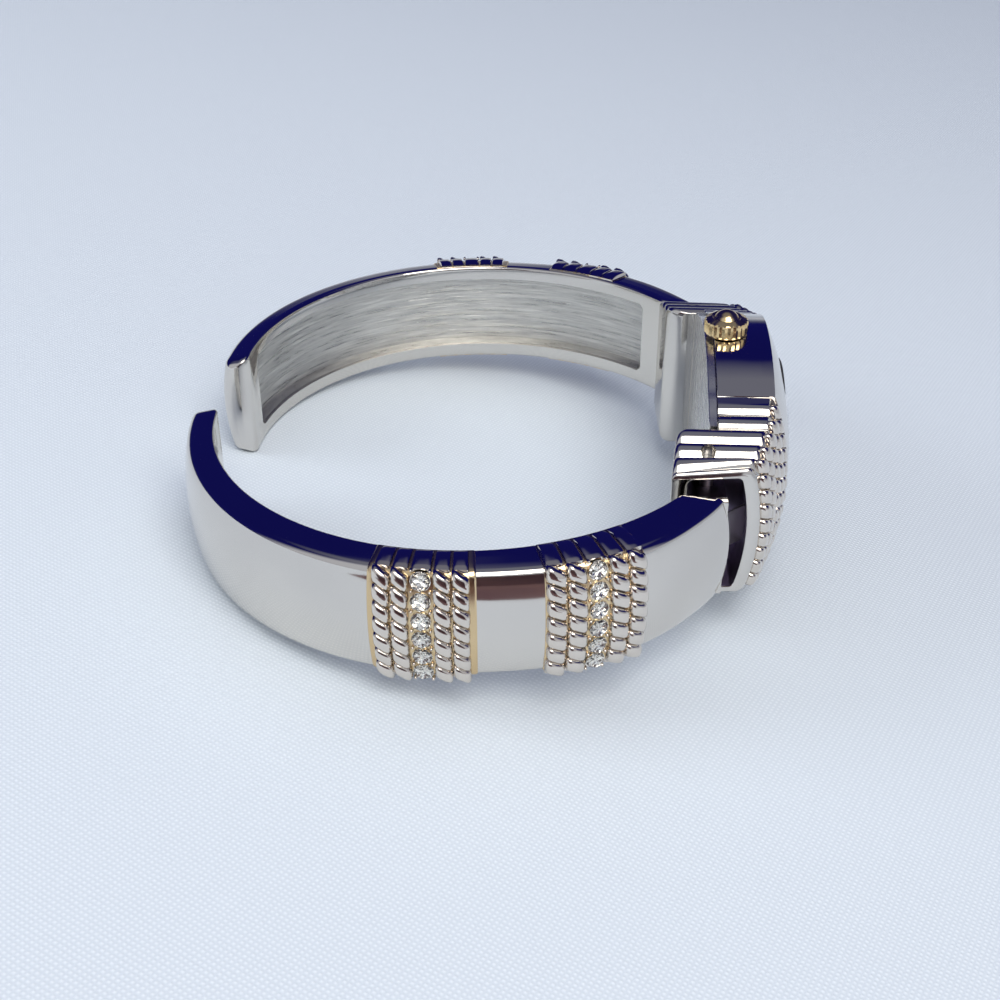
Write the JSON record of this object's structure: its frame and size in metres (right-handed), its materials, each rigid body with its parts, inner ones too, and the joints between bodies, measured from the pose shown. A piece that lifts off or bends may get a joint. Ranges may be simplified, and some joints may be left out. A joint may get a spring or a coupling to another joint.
{
  "type": "hinged bangle watch",
  "caption": "Hinged cuff bangle watch: domed barrel head with crown, ribbed shoulders and two sprung arms with twisted rope and stone ornaments.",
  "frame": {"origin": "centre of the wrist opening, at the middle of the band's width", "axes": "+Z along the bangle's axis towards the crown, +X out of the dial, +Y to the far arm (6 o'clock)"},
  "size_m": [0.057, 0.0649, 0.0251],
  "materials": {
    "silver_plate": "bright rhodium plate, polished",
    "two_tone_rope": "bright ropes over gold-tone plate",
    "gold_plate": "gold-tone plate, polished",
    "steel": "satin",
    "mineral_glass": "clear, polished",
    "rhinestone": "clear, faceted, foiled back",
    "seal": "matt",
    "holder_plastic": "moulded",
    "movement_metal": "satin plated",
    "dial_face": "pearl lacquer"
  },
  "bodies": {
    "head": {"case_middle": "silver_plate", "case_back": "steel", "bezel": "silver_plate", "crystal": "mineral_glass", "crystal_gasket": "seal", "case_back_gasket": "seal", "crown_tube": "steel", "movement_holder": "holder_plastic", "quartz_movement": "movement_metal", "battery": "steel", "dial": "dial_face", "dial_markers": "gold_plate", "shoulder_far": "silver_plate", "front_ropes_far": "two_tone_rope", "hinge_pin_far": "steel", "closing_spring_far": "steel", "shoulder_near": "silver_plate", "front_ropes_near": "two_tone_rope", "hinge_pin_near": "steel", "closing_spring_near": "steel"},
    "far_arm": {"arm_far": "silver_plate", "front_station_far": "two_tone_rope", "rear_station_far": "two_tone_rope", "front_stones_far": "rhinestone", "rear_stones_far": "rhinestone"},
    "near_arm": {"arm_near": "silver_plate", "front_station_near": "two_tone_rope", "rear_station_near": "two_tone_rope", "front_stones_near": "rhinestone", "rear_stones_near": "rhinestone"},
    "crown_carrier": {"crown_gasket": "seal"},
    "crown_set": {"crown": "gold_plate", "winding_stem": "steel"},
    "minute_set": {"cannon_pinion": "movement_metal", "minute_hand": "gold_plate"},
    "hour_set": {"hour_wheel": "movement_metal", "hour_hand": "gold_plate"}
  },
  "joints": [
    {"name": "far_arm_hinge", "type": "hinge", "parent": "head", "child": "far_arm", "pos_m": [0.0221, 0.0151, 0], "axis": [0, 0, -1], "range_deg": [0, 25], "stiffness_Nm_per_rad": 0.1, "deforming": ["closing_spring_far"]},
    {"name": "near_arm_hinge", "type": "hinge", "parent": "head", "child": "near_arm", "pos_m": [0.0221, -0.0151, 0], "axis": [0, 0, 1], "range_deg": [-3.6, 21.4], "stiffness_Nm_per_rad": 0.1, "deforming": ["closing_spring_near"]},
    {"name": "crown_pull", "type": "slide", "parent": "head", "child": "crown_carrier", "axis": [0, 0, 1], "range_m": [0, 0.0008]},
    {"name": "crown_turn", "type": "hinge", "parent": "crown_carrier", "child": "crown_set", "pos_m": [0.02425, 0, 0.0125], "axis": [0, 0, 1], "continuous": true},
    {"name": "minute_turn", "type": "hinge", "parent": "head", "child": "minute_set", "pos_m": [0.0281, 0, 0], "axis": [-1, 0, 0], "continuous": true},
    {"name": "hour_turn", "type": "hinge", "parent": "head", "child": "hour_set", "pos_m": [0.0275, 0, 0], "axis": [-1, 0, 0], "continuous": true}
  ],
  "couplings": [
    {"joint": "hour_turn", "follows": "minute_turn", "ratio": 0.083333}
  ]
}
